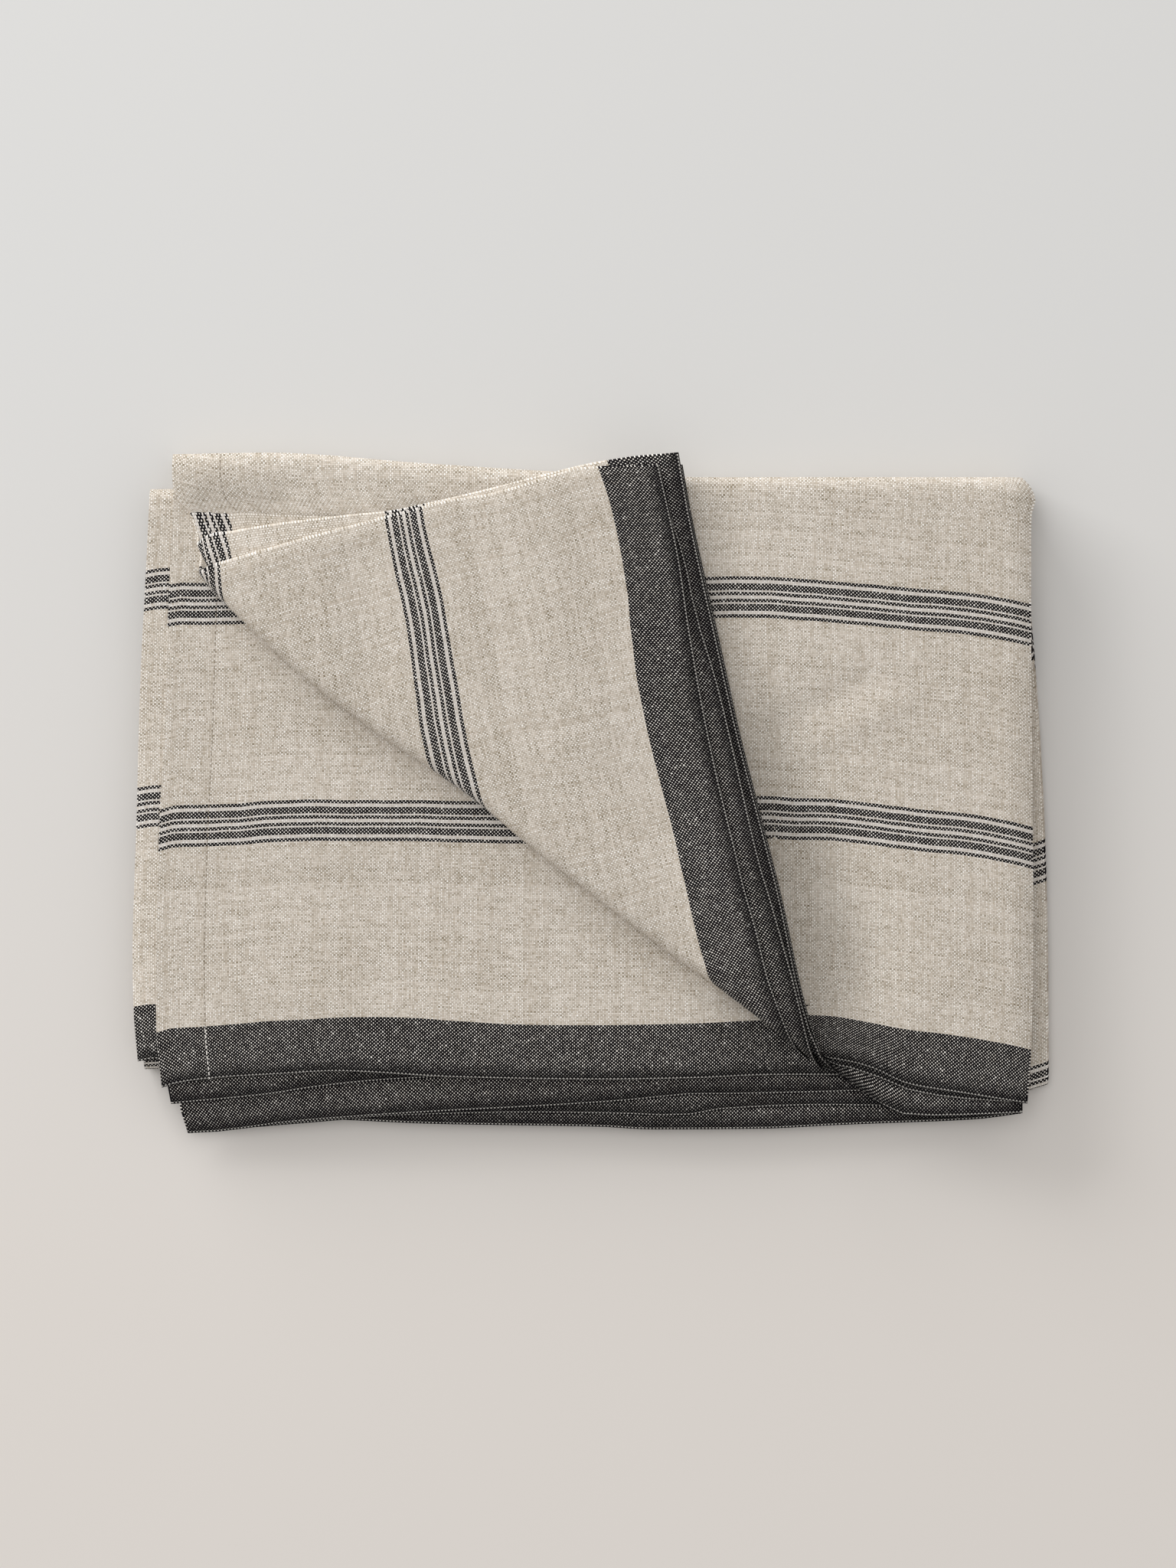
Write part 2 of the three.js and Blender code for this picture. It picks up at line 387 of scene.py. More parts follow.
# The picture: its size, the millimetres that one of its pixels shows at a height over the floor, the
# camera's height, and the pixel that shows the point (0, 0) of the tables above
PICTURE = (1536, 2048)
PIXEL = 0.5
PLANE_HEIGHT = 25.0
CAMERA_HEIGHT = 2300.0
OBJECT_PIXEL = (771.0, 1036.5)


def smooth_step(share):
    """Rises from 0 to 1 with level ends."""
    return share * share * (3 - 2 * share)


def smooth_line(points):
    """A smooth function through (place, value) points, with straight ends."""
    points = sorted(points)
    place = np.array([point[0] for point in points], float)
    value = np.array([point[1] for point in points], float)
    step = np.diff(place)
    slope = np.diff(value) / step
    tangent = np.zeros(len(place))
    tangent[0] = slope[0]
    tangent[-1] = slope[-1]
    for index in range(1, len(place) - 1):
        before, after = slope[index - 1], slope[index]
        if before * after > 0:
            near = 2 * step[index] + step[index - 1]
            far = step[index] + 2 * step[index - 1]
            tangent[index] = (near + far) / (near / before + far / after)

    def at(where):
        where = np.asarray(where, float)
        inside = np.clip(where, place[0], place[-1])
        piece = np.clip(np.searchsorted(place, inside) - 1, 0, len(step) - 1)
        share = (inside - place[piece]) / step[piece]
        curve = value[piece] + (value[piece + 1] - value[piece]) * smooth_step(share)
        curve += step[piece] * tangent[piece] * share * (1 - share) ** 2
        curve -= step[piece] * tangent[piece + 1] * share * share * (1 - share)
        past = where - inside
        return curve + past * np.where(past < 0, tangent[0], tangent[-1])

    return at


def flap_place(points):
    """How far points lie along the slanting fold and beyond its axis."""
    from_axis = points - FLAP_POINT
    return from_axis @ FLAP_ALONG, from_axis @ FLAP_ACROSS


def group_of(leaf):
    """The group of turned leaves that a leaf is in."""
    return next(group for group in FLAP_GROUPS if leaf in group["leaves"])


def unturned(points, group):
    """Where points of the turned-over corner lie before it is turned."""
    points = np.array(points, float).reshape(-1, 2)
    along, beyond = flap_place(points)
    reach = math.pi * group["radius"] - beyond - 2 * group["shift"](along)
    return FLAP_POINT + along[:, None] * FLAP_ALONG + reach[:, None] * FLAP_ACROSS


def turn_over(skin, group):
    """Turns points (x, y, z) over on the slanting fold, each leaf at its own radius."""
    along, reach = flap_place(skin[:, :2])
    beyond = reach + group["shift"](along)
    radius = FLAP_AXIS - skin[:, 2]
    steps = np.clip(beyond / group["radius"] / math.pi, 0, 1) * FLAP_STEPS
    last = np.minimum(np.floor(steps), FLAP_STEPS - 1)
    past = np.maximum(beyond - math.pi * group["radius"], 0)
    place = []
    for step in (last, last + 1):
        turn = math.pi * step / FLAP_STEPS
        place.append(np.stack([radius * np.sin(turn), -radius * np.cos(turn)]))
    across, rise = place[0] + (place[1] - place[0]) * (steps - last)
    move = np.where(beyond > 0, across - past - beyond, 0)
    turned = skin.copy()
    turned[:, :2] += move[:, None] * FLAP_ACROSS
    turned[:, 2] = np.where(beyond > 0, FLAP_AXIS + rise, skin[:, 2])
    return turned, past


def upper_edge_line(index):
    """x of a station's edge in the upper layers, as a function of y."""
    station = STATIONS[index]
    points = list(station["upper"])
    if "turned" in station:
        points += [(y, x) for x, y in unturned(station["turned"], group_of(index))]
    return smooth_line(points)


def free_edge_line(leaf, place):
    """y of a leaf's free edge as a function of x, between its two corners."""
    points = list(FREE_EDGES[leaf][place])
    if place == "upper" and FREE_EDGES[leaf]["turned"]:
        points += [tuple(point) for point in unturned(FREE_EDGES[leaf]["turned"], group_of(leaf))]
    for station in (STATIONS[leaf], STATIONS[leaf + 1]):
        corner = station[f"{place}_corner"]
        points.append((float(station[f"{place}_x"](corner)), corner))
    return smooth_line(points)


back_line = smooth_line([(x, y - BACK_REACH) for x, y in BACK_EDGE])
front_line = smooth_line(FRONT_EDGE)
rolled_edge = smooth_line(ROLLED_EDGE)

for group in FLAP_GROUPS:
    group["shift"] = smooth_line(group["set_back"])

for index, station in enumerate(STATIONS):
    station["upper_x"] = upper_edge_line(index)
    station["lower_x"] = smooth_line(station["lower"])
    if "turned" in station:
        station["upper_corner"] = unturned(station["turned"][-1], group_of(index))[0, 1]

for leaf in range(LEAVES):
    for place in ("upper", "lower"):
        FREE_EDGES[leaf][f"{place}_line"] = free_edge_line(leaf, place)


def make_columns():
    """One column for each step along a leaf, hems included, and for each step around a bend."""
    columns = []
    for leaf in range(LEAVES):
        facing = -1 if leaf % 2 == 0 else 1
        count = LEAF_COLUMNS[leaf]
        for step in range(count + 1):
            columns.append({
                "leaf": leaf,
                "share": step / count,
                "rise": leaf + 0.5,
                "out": 0.0,
                "tilt": 0.0,
                "lift": facing,
                "u": (leaf + step / count) * LEAF_LENGTH,
            })
        if leaf == LEAVES - 1:
            break
        for step in range(1, BEND_STEPS):
            turn = math.pi * step / BEND_STEPS
            columns.append({
                "leaf": leaf,
                "share": 1.0,
                "rise": leaf + 0.5 + (1 - math.cos(turn)) / 2,
                "out": -facing * math.sin(turn) * PITCH / 2,
                "tilt": math.sin(turn),
                "lift": facing * math.cos(turn),
                "u": (leaf + 1) * LEAF_LENGTH,
            })
    return columns


def flat_block(column, place, rows, layer):
    """x and y down one column of the upper or lower layers, from the free edge to the back.

    layer counts the layers outside this one at the back fold.
    """
    leaf = column["leaf"]
    start, end = STATIONS[leaf], STATIONS[leaf + 1]
    start_x, end_x = start[f"{place}_x"], end[f"{place}_x"]
    edge = FREE_EDGES[leaf][f"{place}_line"]
    down = np.linspace(0, 1, rows + 1)
    y = np.linspace(-FIRST_Y, FIRST_Y, rows + 1)
    for _ in range(FIT_ROUNDS):
        x = start_x(y) + (end_x(y) - start_x(y)) * column["share"]
        front = end[f"{place}_corner"] if column["share"] == 1 else float(edge(x[0]))
        back = float(back_line(x[-1])) - BACK_SLIP * layer
        y = front + (back - front) * down
    return x + column["out"], y


def fold_points(x, y, axis, radius, outward, up, steps):
    """Points round one fold without its ends: x, y, z and the normal's y and z.

    axis is the height of the fold's axis. radius is below 0 where the fold starts under it.
    outward is the fold's direction along y, and up is 1 where the normal points out of it.
    """
    points = []
    for step in range(1, steps):
        turn = math.pi * step / steps
        out_y = outward * math.sin(turn)
        out_z = math.copysign(1, radius) * math.cos(turn)
        reach = abs(radius)
        points.append((x, y + reach * out_y, axis + reach * out_z, up * out_y, up * out_z))
    return points


def column_points(column):
    """Points down one column, from its upper free edge round all the folds to its lower one."""
    rise = column["rise"]
    height = rise * PITCH
    upper_x, upper_y = flat_block(column, "upper", UPPER_ROWS, rise)
    lower_x, lower_y = flat_block(column, "lower", LOWER_ROWS, 2 * LEAVES - rise)
    start, end = STATIONS[column["leaf"]], STATIONS[column["leaf"] + 1]
    front_x = start["front"] + (end["front"] - start["front"]) * column["share"] + column["out"]
    front_y = float(front_line(front_x)) + FRONT_SLIP * rise
    back_x, back_y = upper_x[-1], upper_y[-1]
    inner_x, inner_y = lower_x[-1], lower_y[-1]
    shares = np.linspace(0, 1, INNER_ROWS + 1)

    points = [(x, y, STACK - height, 0, -1) for x, y in zip(upper_x, upper_y)]
    points += fold_points(back_x, back_y, BACK_AXIS, BACK_AXIS - height, 1, -1, BACK_STEPS)
    for share in shares:
        ease = 1 - (1 - share) ** INNER_EASE
        x = back_x + (front_x - back_x) * ease
        points.append((x, back_y + (front_y - back_y) * share, height, 0, 1))
    points += fold_points(front_x, front_y, FRONT_AXIS, height - FRONT_AXIS, -1, -1, FRONT_STEPS)
    for share in shares:
        ease = share ** INNER_EASE
        x = front_x + (inner_x - front_x) * ease
        points.append((x, front_y + (inner_y - front_y) * share, BACK_AXIS - height, 0, -1))
    points += fold_points(inner_x, inner_y, BACK_AXIS, -height, 1, 1, INNER_STEPS)
    points += [(x, y, BACK_AXIS + height, 0, 1) for x, y in zip(lower_x[::-1], lower_y[::-1])]
    return points


def make_sheet(columns):
    """The middle surface before the corner is turned: place, normal and u of each point."""
    table = []
    for column in columns:
        tilt, lift, u = column["tilt"], column["lift"], column["u"]
        table.append([
            (x, y, z, tilt, lift * up_y, lift * up_z, u)
            for x, y, z, up_y, up_z in column_points(column)
        ])
    return np.array(table, float)


columns = make_columns()
column_leaf = np.array([column["leaf"] for column in columns])
sheet = make_sheet(columns)
n_columns, n_rows = sheet.shape[:2]

# What a point holds
PLACE = slice(0, 3)
NORMAL = slice(3, 6)
U, V_EDGE, V_MIDDLE = 6, 7, 8

# Rows where the layers under the back fold begin, where they turn at the front, and where they end
UNDER_START = UPPER_ROWS + BACK_STEPS
FRONT_NOSE = UNDER_START + INNER_ROWS + FRONT_STEPS // 2
MIDDLE_END = UNDER_START + INNER_ROWS + FRONT_STEPS + INNER_ROWS


def lines_moved(row, x, distance):
    """How far back one row of LINES moves the woven lines, at x and a distance from the edge."""
    places, *amounts = zip(*row["rows"])
    band, first, second = [np.interp(x, places, amount) for amount in amounts]
    band_run, first_run, second_run = LINE_RUNS
    back = band * np.clip(distance / band_run, 0, 1)
    back += (first - band) * np.clip((distance - band_run) / (first_run - band_run), 0, 1)
    back += (second - first) * np.clip((distance - first_run) / (second_run - first_run), 0, 1)
    return back


def woven_places(sheet):
    """Places across the cloth, counted from the nearer free edge and from the middle."""
    steps = np.linalg.norm(np.diff(sheet[:, :, PLACE], axis=1), axis=2)
    run = np.concatenate([np.zeros((n_columns, 1)), np.cumsum(steps, axis=1)], axis=1)
    rolled = np.where(column_leaf == 0, rolled_edge(sheet[:, 0, 0]), 0).clip(0)
    pulled = np.exp(-(sheet[:, :, 0] - PULLED_FROM).clip(0) / PULLED_RUN)
    pulled *= np.array(PULLED)[column_leaf][:, None] * np.clip(run / PULLED_EASE, 0, 1)
    from_upper = WIDTH - run + pulled
    from_upper -= rolled[:, None] * smooth_step(np.clip(run / ROLLED_RUN, 0, 1))
    from_lower = run[:, -1:] - run
    for row in LINES:
        chosen = column_leaf == row["leaf"]
        x = sheet[chosen, :, 0]
        if row["place"] == "upper":
            from_upper[chosen] += lines_moved(row, x, run[chosen])
        else:
            from_lower[chosen] -= lines_moved(row, x, from_lower[chosen])
    v_edge = np.where(np.arange(n_rows) <= FRONT_NOSE, from_upper, from_lower)
    v_middle = WIDTH / 2 + FRONT_FOLD_OFFSET + run[:, FRONT_NOSE:FRONT_NOSE + 1] - run
    return v_edge, v_middle


points = np.concatenate([sheet, np.stack(woven_places(sheet), axis=2)], axis=2)
points = points.reshape(-1, points.shape[2])

# Two triangles for each step down and along. in_middle marks those whose woven lines are counted
# from the middle, and tri_group gives the group of turned leaves, or -1.
quad_column, quad_row = np.meshgrid(
    np.arange(n_columns - 1), np.arange(n_rows - 1), indexing="ij")
near = (quad_column * n_rows + quad_row).ravel()
far = near + n_rows
triangles = np.concatenate([
    np.stack([near, far, far + 1], axis=1),
    np.stack([near, far + 1, near + 1], axis=1),
])
in_middle = np.tile(((quad_row >= UNDER_START) & (quad_row < MIDDLE_END)).ravel(), 2)
leaf_group = np.full(LEAVES, -1)
for number, group in enumerate(FLAP_GROUPS):
    leaf_group[list(group["leaves"])] = number
quad_group = np.where(quad_row < UPPER_ROWS, leaf_group[column_leaf[quad_column]], -1)
tri_group = np.tile(quad_group.ravel(), 2)


def cut_along(points, triangles, tri_group, in_middle, number, turn):
    """Cuts one group's upper triangles along a line of the slanting fold."""
    group = FLAP_GROUPS[number]
    along, reach = flap_place(points[:, :2])
    offset = reach + group["shift"](along) - group["radius"] * turn
    offset[np.abs(offset) < NEAR_CUT] = 0
    sign = np.sign(offset)[triangles]
    crossed = (tri_group == number) & (sign.min(axis=1) < 0) & (sign.max(axis=1) > 0)
    chosen = np.flatnonzero(crossed)
    if len(chosen) == 0:
        return points, triangles, tri_group, in_middle

    # a is the corner on the line, or else the one that lies alone on its side of it
    sign = sign[chosen]
    has_zero = (sign == 0).any(axis=1)
    lone_sign = -np.sign(sign.sum(axis=1))
    on_line = np.argmax(sign == 0, axis=1)
    alone = np.argmax(sign == lone_sign[:, None], axis=1)
    first = np.where(has_zero, on_line, alone)
    order = (first[:, None] + np.arange(3)) % 3
    a, b, c = np.take_along_axis(triangles[chosen], order, axis=1).T

    # New points where the line crosses the edges
    edges = np.concatenate([
        np.stack([b, c], axis=1)[has_zero],
        np.stack([a, b], axis=1)[~has_zero],
        np.stack([a, c], axis=1)[~has_zero],
    ])
    ends, inverse = np.unique(np.sort(edges, axis=1), axis=0, return_inverse=True)
    share = offset[ends[:, 0]] / (offset[ends[:, 0]] - offset[ends[:, 1]])
    new = points[ends[:, 0]] + (points[ends[:, 1]] - points[ends[:, 0]]) * share[:, None]
    ids = len(points) + inverse.reshape(-1)
    n_zero = has_zero.sum()
    n_lone = (~has_zero).sum()
    cut_bc, cut_ab, cut_ac = np.split(ids, [n_zero, n_zero + n_lone])

    zero_a, zero_b, zero_c = a[has_zero], b[has_zero], c[has_zero]
    lone_a, lone_b, lone_c = a[~has_zero], b[~has_zero], c[~has_zero]
    pieces = np.concatenate([
        np.stack([zero_a, zero_b, cut_bc], axis=1),
        np.stack([zero_a, cut_bc, zero_c], axis=1),
        np.stack([lone_a, cut_ab, cut_ac], axis=1),
        np.stack([cut_ab, lone_b, lone_c], axis=1),
        np.stack([cut_ab, lone_c, cut_ac], axis=1),
    ])
    keep = ~crossed
    return (
        np.concatenate([points, new]),
        np.concatenate([triangles[keep], pieces]),
        np.concatenate([tri_group[keep], np.full(len(pieces), number)]),
        np.concatenate([in_middle[keep], np.zeros(len(pieces), bool)]),
    )


for number in range(len(FLAP_GROUPS)):
    for step in range(FLAP_STEPS + 1):
        turn = math.pi * step / FLAP_STEPS
        points, triangles, tri_group, in_middle = cut_along(
            points, triangles, tri_group, in_middle, number, turn)

# Each point's group, for turning it over
point_group = np.full(len(points), -1)
for number in range(len(FLAP_GROUPS)):
    point_group[triangles[tri_group == number].ravel()] = number

# Near the tip the folds curve, and the stripes of the turned leaves keep their width there
for number, group in enumerate(FLAP_GROUPS):
    chosen = point_group == number
    along, reach = flap_place(points[chosen, :2])
    shift = group["shift"](along)
    turned = np.clip((reach + shift) / (math.pi * group["radius"] / 2), 0, 1)
    curved = np.where(along < group["drawn"], shift - group["shift"](group["drawn"]), 0)
    points[chosen, V_EDGE] -= 2 * FLAP_ACROSS[1] * turned * curved


def press_back_fold(x, y, z):
    """y and z with the round back fold pressed nearly square."""
    beyond = np.clip(y - back_line(x), 0, None)
    above_axis = z - BACK_AXIS
    reach = np.hypot(beyond, above_axis)
    squared = (beyond ** BACK_SQUARE + np.abs(above_axis) ** BACK_SQUARE) ** (1 / BACK_SQUARE)
    in_fold = (beyond > 0) & (reach < BACK_REACH + PITCH)
    pressed = np.ones(len(x))
    pressed[in_fold] = reach[in_fold] / squared[in_fold]
    return y + beyond * (pressed - 1), z + above_axis * (pressed - 1)


def relief_at(places, z):
    """How far the ridges, the troughs and the hanging sides move the top of the stack."""
    x = places[:, 0]
    on_flap = np.clip((z - STACK) / FLAP_BLEND, 0, 1)
    relief = np.zeros(len(places))
    for row in RELIEF:
        start = np.array(row["from"], float)
        line = np.array(row["to"], float) - start
        share = np.clip(((places - start) @ line) / (line @ line), 0, 1)
        gap = np.linalg.norm(places - start - share[:, None] * line, axis=1)
        follow = 1 - (1 - row["flap"]) * on_flap
        relief += row["height"] * np.exp(-(gap / row["width"]) ** 2) * follow
    relief -= RIGHT_DROOP["curve"] * np.clip(x - RIGHT_DROOP["start"], 0, None) ** 2
    relief -= LEFT_DROOP["curve"] * np.clip(LEFT_DROOP["start"] - x, 0, None) ** 2
    return relief


def settle(skin, past):
    """Softens the stack. past is how far points of the turned leaves lie past the fold."""
    x, y, z = skin.T
    y, z = press_back_fold(x, y, z)
    settled = z + relief_at(skin[:, :2], z) * np.clip(z / STACK, 0, 1)

    above = np.clip((z - FLAP_AXIS) / FLAP_GROUPS[-1]["radius"], 0, None)
    bulge = np.exp(-((past - FLAP_BULGE["place"]) / FLAP_BULGE["width"]) ** 2)
    spread = smooth_step(np.clip(past / FLAP_SPREAD["run"], 0, 1))
    settled += above * (FLAP_BULGE["height"] * bulge + FLAP_SPREAD["height"] * spread)

    by_side = np.clip((x - CORNER["x"]) / CORNER["run"], 0, 1)
    by_back = np.clip((y - CORNER["y"]) / CORNER["run"], 0, None)
    x = x - CORNER["depth"] * by_side * by_back ** 2

    front_over = np.clip(front_line(x) + FRONT_DROOP["start"] - y, 0, None)
    back_over = np.clip(y - back_line(x) - BACK_REACH - BACK_DROOP["start"], 0, None)
    settled -= FRONT_DROOP["curve"] * front_over ** 2
    settled -= np.where(z > STACK, BACK_DROOP["curve"] * back_over ** 2, 0)
    return np.stack([x, y, settled], axis=1)


# The two faces of the cloth, half its thickness from the middle surface
skins = []
for side in (1, -1):
    skin = points[:, PLACE] + points[:, NORMAL] * side * SHEET / 2
    past = np.zeros(len(skin))
    for number, group in enumerate(FLAP_GROUPS):
        chosen = point_group == number
        skin[chosen], past[chosen] = turn_over(skin[chosen], group)
    skins.append(settle(skin, past))
skin = np.concatenate(skins) - (MIDDLE_X, MIDDLE_Y, LAYER_CLEARANCE)

# A strip of triangles joins them along the free edges and hems
edges = np.concatenate([triangles[:, [0, 1]], triangles[:, [1, 2]], triangles[:, [2, 0]]])
edge_owner = np.tile(np.arange(len(triangles)), 3)
_, first, counts = np.unique(
    np.sort(edges, axis=1), axis=0, return_index=True, return_counts=True)
open_edges = first[counts == 1]
rim_from, rim_to = edges[open_edges].T
rim_middle = in_middle[edge_owner[open_edges]]
half = len(points)
faces = np.concatenate([
    triangles,
    triangles[:, [0, 2, 1]] + half,
    np.stack([rim_to, rim_from, rim_from + half], axis=1),
    np.stack([rim_to, rim_from + half, rim_to + half], axis=1),
])
uses_middle = np.concatenate([in_middle, in_middle, rim_middle, rim_middle])

cloth_mesh = bpy.data.meshes.new("tablecloth_sheet")
cloth_mesh.from_pydata((skin * METRES).tolist(), [], faces.tolist())
cloth_mesh.validate()
cloth = bpy.data.objects.new("tablecloth_sheet", cloth_mesh)
bpy.context.scene.collection.objects.link(cloth)
cloth_mesh.shade_smooth()

# Places on the flat cloth, in metres, for the weave
corner = faces.ravel() % half
v_corner = np.where(
    np.repeat(uses_middle, 3), points[corner, V_MIDDLE], points[corner, V_EDGE])
flat_map = np.stack([points[corner, U], v_corner], axis=1) * METRES
layer = cloth_mesh.uv_layers.new(name="Cloth")
layer.data.foreach_set("uv", flat_map.astype(np.float32).ravel())

# The rims of the two faces are shaded as crisp edges
edge_ends = np.zeros(len(cloth_mesh.edges) * 2, np.int64)
cloth_mesh.edges.foreach_get("vertices", edge_ends)
edge_ends = np.sort(edge_ends.reshape(-1, 2), axis=1)
rim = np.stack([rim_from, rim_to], axis=1)
rim_ends = np.sort(np.concatenate([rim, rim + half]), axis=1)
ends_as_number = (len(skin), 1)
sharp = np.isin(edge_ends @ ends_as_number, rim_ends @ ends_as_number)
attribute = cloth_mesh.attributes.new("sharp_edge", "BOOLEAN", "EDGE")
attribute.data.foreach_set("value", sharp)


class Nodes:
    """Short calls for building a material's nodes; the functions below call it n."""

    def __init__(self, name):
        self.material = bpy.data.materials.new(name)
        self.material.use_nodes = True
        self.tree = self.material.node_tree
        self.tree.nodes.clear()

    def new(self, kind, **settings):
        node = self.tree.nodes.new(kind)
        for key, value in settings.items():
            setattr(node, key, value)
        return node

    def put(self, socket, value):
        if isinstance(value, bpy.types.NodeSocket):
            self.tree.links.new(value, socket)
        else:
            socket.default_value = value

    def math(self, operation, *values, clamp=False):
        node = self.new("ShaderNodeMath", operation=operation, use_clamp=clamp)
        for socket, value in zip(node.inputs, values):
            self.put(socket, value)
        return node.outputs[0]

    def add(self, first, second):
        return self.math("ADD", first, second)

    def minus(self, first, second):
        return self.math("SUBTRACT", first, second)

    def times(self, first, second):
        return self.math("MULTIPLY", first, second)

    def divided(self, first, second):
        return self.math("DIVIDE", first, second)

    def line(self, value, slope, start, clamp=False):
        """start + slope * value, held between 0 and 1 where clamp is set."""
        return self.math("MULTIPLY_ADD", value, slope, start, clamp=clamp)

    def mix(self, share, first, second):
        node = self.new("ShaderNodeMix", data_type="RGBA")
        self.put(node.inputs["Factor"], share)
        self.put(node.inputs["A"], first)
        self.put(node.inputs["B"], second)
        return node.outputs["Result"]

    def vector(self, x, y, z=0.0):
        node = self.new("ShaderNodeCombineXYZ")
        for socket, value in zip(node.inputs, (x, y, z)):
            self.put(socket, value)
        return node.outputs[0]

    def split(self, vector):
        node = self.new("ShaderNodeSeparateXYZ")
        self.put(node.inputs[0], vector)
        return node.outputs

    def split_color(self, color):
        node = self.new("ShaderNodeSeparateColor")
        self.put(node.inputs[0], color)
        return node.outputs

    def noise(self, vector, scale, detail=2.0, roughness=0.5):
        node = self.new("ShaderNodeTexNoise")
        self.put(node.inputs["Vector"], vector)
        node.inputs["Scale"].default_value = scale
        node.inputs["Detail"].default_value = detail
        node.inputs["Roughness"].default_value = roughness
        return node.outputs["Fac"]

    def random(self, vector):
        node = self.new("ShaderNodeTexWhiteNoise", noise_dimensions="3D")
        self.put(node.inputs["Vector"], vector)
        return node.outputs["Value"]

    def steps(self, share, stops):
        """The colour of the last (place, colour) stop that share has passed."""
        node = self.new("ShaderNodeValToRGB")
        node.color_ramp.interpolation = "CONSTANT"
        elements = node.color_ramp.elements
        while len(elements) < len(stops):
            elements.new(1.0)
        for element, (place, color) in zip(elements, stops):
            element.position = place
            element.color = color
        self.put(node.inputs["Fac"], share)
        return node.outputs["Color"]

    def finish(self, color, roughness, specular):
        """Puts a matt surface of this colour out and returns the material."""
        shader = self.new("ShaderNodeBsdfPrincipled")
        shader.inputs["Roughness"].default_value = roughness
        shader.inputs["Specular IOR Level"].default_value = specular
        self.put(shader.inputs["Base Color"], color)
        output = self.new("ShaderNodeOutputMaterial")
        self.put(output.inputs["Surface"], shader.outputs[0])
        return self.material


def rgb(red, green, blue):
    """A colour given as it looks on screen, from 0 to 255, made linear."""
    linear = []
    for value in (red, green, blue):
        value /= 255
        linear.append(value / 12.92 if value <= 0.04045 else ((value + 0.055) / 1.055) ** 2.4)
    return (*linear, 1.0)


# Colours of the yarns, and of the painted shade in the gaps between them and at the free edges
WARP_LIGHT = rgb(221, 211, 199)
WARP_BROWN = rgb(137, 124, 102)
WEFT_LIGHT = rgb(251, 248, 242)
WEFT_DARK = rgb(191, 180, 163)
DARK_YARN = rgb(9, 8, 11)
DARK_WORN = rgb(30, 27, 29)
WHITE_YARN = rgb(246, 242, 235)
WHITE_STRIPE = rgb(208, 202, 197)
STITCH = rgb(120, 108, 92)
PAINTED_GAP_SHADE = rgb(70, 60, 48)
DARK_PAINTED_SHADE = rgb(6, 5, 7)
CLOTH_ROUGHNESS = 0.95
CLOTH_SPECULAR = 0.12

# The yarns waver: noise of this scale and detail, times these lengths in metres
WAVER = {"scale": 60.0, "detail": 1.0, "along": 0.0012, "across": 0.0006}

# Tones drift along each yarn, this many times in a metre, and differ from yarn to yarn
DRIFT = {"warp": 90.0, "weft": 110.0, "yarn": 1.7, "detail": 2.0, "roughness": 0.6}
PATCH_SCALE = 14.0

# What makes a yarn darker: its own tone, the drift from a start, and its tone at one crossing.
# The warp also has patches.
WARP_SHARES = {"tone": 0.3, "drift": 1.5, "start": -0.55, "patches": 0.5, "crossing": 0.5}
WEFT_SHARES = {"tone": 0.4, "drift": 1.5, "start": -0.5, "crossing": -0.5}

# The oval of weft over a warp thread, as shares of the pitches; a few are thick slubs
OVAL_TALL = 0.43
OVAL_WIDE = 0.56
SLUB = {"from": 0.985, "growth": 0.35}

# Over dark warp threads the ovals are smaller, at random, in clumps and more so in the bands, and
# nearer to white
DARK_OVAL = {
    "start": -0.56, "random": 0.3, "clump": 0.2, "clump_scale": 0.3, "clump_detail": 1.0,
    "band": -0.07, "white": 0.5,
}

# Painted shade in the corners between threads and along their round sides
PAINTED_THREAD_SHADE = {"corner": 2.6, "side": 0.9, "share": 0.6}

# At the free edge, in metres: the painted shade just behind it, and the loops of the weft
PAINTED_EDGE_SHADE = {"from": 0.002, "run": 0.008, "share": 0.8}
LOOPS = {"from_edge": 0.0009, "half_width": 0.0003, "share": 0.5}

# The hem's stitches, in metres; on is the share of the pitch that a stitch takes up
STITCHES = {"half_width": 0.0004, "pitch": 0.0038, "on": 0.6, "share": 0.7}

# Numbers that keep the random values apart
CROSSING_SEED = 11.0
WARP_SEED = 3.0
WEFT_SEED = 7.0
DRIFT_SEED = 5.0
OVAL_SEED = 23.0


def warp_kinds(n, warp):
    """Whether a warp thread is dark, white, or in the band along a selvedge."""
    last_thread = round(WIDTH / WARP_PITCH) - 1
    from_selvedge = n.math("MINIMUM", warp, n.minus(last_thread, warp))
    band = n.math("LESS_THAN", from_selvedge, BAND_THREADS - 0.5)
    in_period = n.math("FLOORED_MODULO", n.minus(warp, FIRST_STRIPE), STRIPE_PERIOD)
    stops = []
    thread = 0
    for count, dark in STRIPE_RUNS:
        stops.append((thread / STRIPE_PERIOD, (dark, 1 - dark, 0, 1)))
        thread += count
    stops.append((thread / STRIPE_PERIOD, (0, 0, 0, 1)))
    runs = n.split_color(n.steps(n.divided(n.add(in_period, 0.5), STRIPE_PERIOD), stops))
    past_first = n.math("GREATER_THAN", from_selvedge, FIRST_STRIPE - 0.5)
    dark = n.math("MAXIMUM", band, n.times(runs[0], past_first))
    white = n.times(runs[1], past_first)
    return dark, white, band


